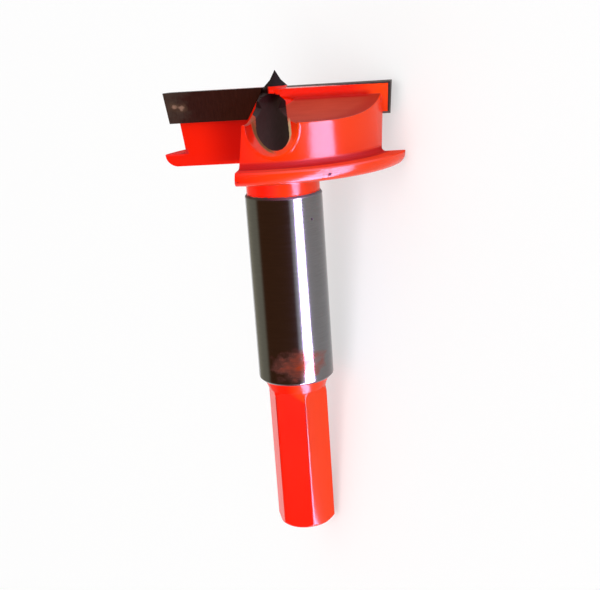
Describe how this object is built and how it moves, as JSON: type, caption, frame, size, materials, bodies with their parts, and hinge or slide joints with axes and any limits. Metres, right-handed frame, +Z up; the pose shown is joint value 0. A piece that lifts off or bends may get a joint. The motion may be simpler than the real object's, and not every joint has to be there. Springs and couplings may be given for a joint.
{
  "type": "forstner bit",
  "caption": "Hinge-boring forstner bit with brazed carbide cutters, a centre point, a painted head with a depth-stop flange, a bright round shank and a hexagonal tail.",
  "frame": {"origin": "middle of the underside of the bounding box of the bit as it lies on a floor", "axes": "+X along the bit as it lies, towards its tip; +Z up, away from the floor"},
  "size_m": [0.0734, 0.0394, 0.0299],
  "materials": {
    "painted_steel": "gloss red paint on the head, neck and tail, with the round shank and the ground tip bare steel",
    "carbide": "ground tungsten carbide, dark and satin"
  },
  "bodies": {
    "root": {"bit_body": "painted_steel", "cutter_plate_1": "carbide", "cutter_plate_2": "carbide"}
  },
  "joints": []
}
